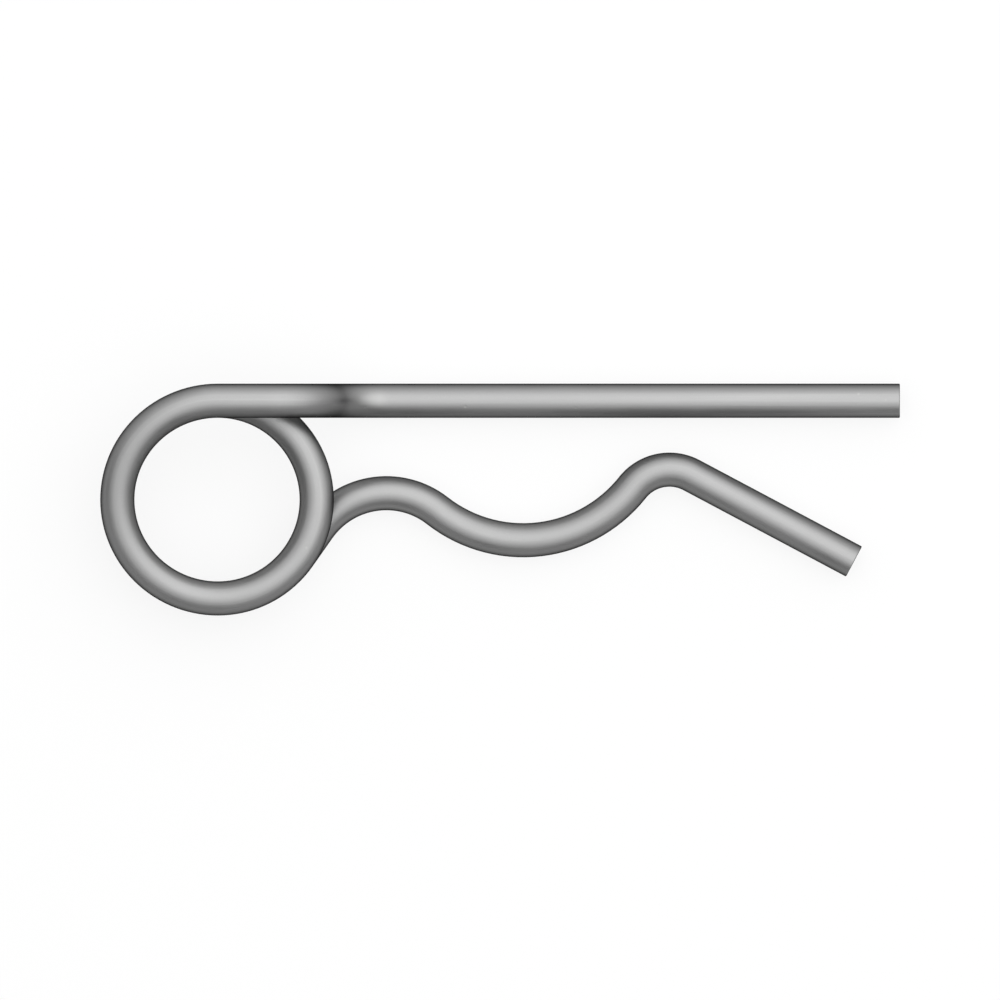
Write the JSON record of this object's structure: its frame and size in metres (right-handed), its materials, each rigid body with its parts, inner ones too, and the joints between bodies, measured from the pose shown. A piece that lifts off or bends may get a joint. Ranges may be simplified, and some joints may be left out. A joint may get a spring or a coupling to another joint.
{
  "type": "hitch r clip pin",
  "caption": "Spring-wire R clip with a straight leg for a pin's cross hole, a wound finger loop, and a wavy leg whose grip closes round the outside of the hitch pin.",
  "frame": {"origin": "centre of the hitch pin that the clip holds, on the axis of the straight leg", "axes": "+X along the straight leg to its free end, away from the coil; +Y across the clip, from the wavy leg to the straight leg; +Z square to the flat legs, to the side on which the coil stands up"},
  "size_m": [0.0934, 0.0271, 0.0125],
  "materials": {
    "spring_wire": "zinc-plated spring steel wire, satin, with fine draw lines along the wire"
  },
  "bodies": {
    "root": {"clip": "spring_wire"}
  },
  "joints": []
}
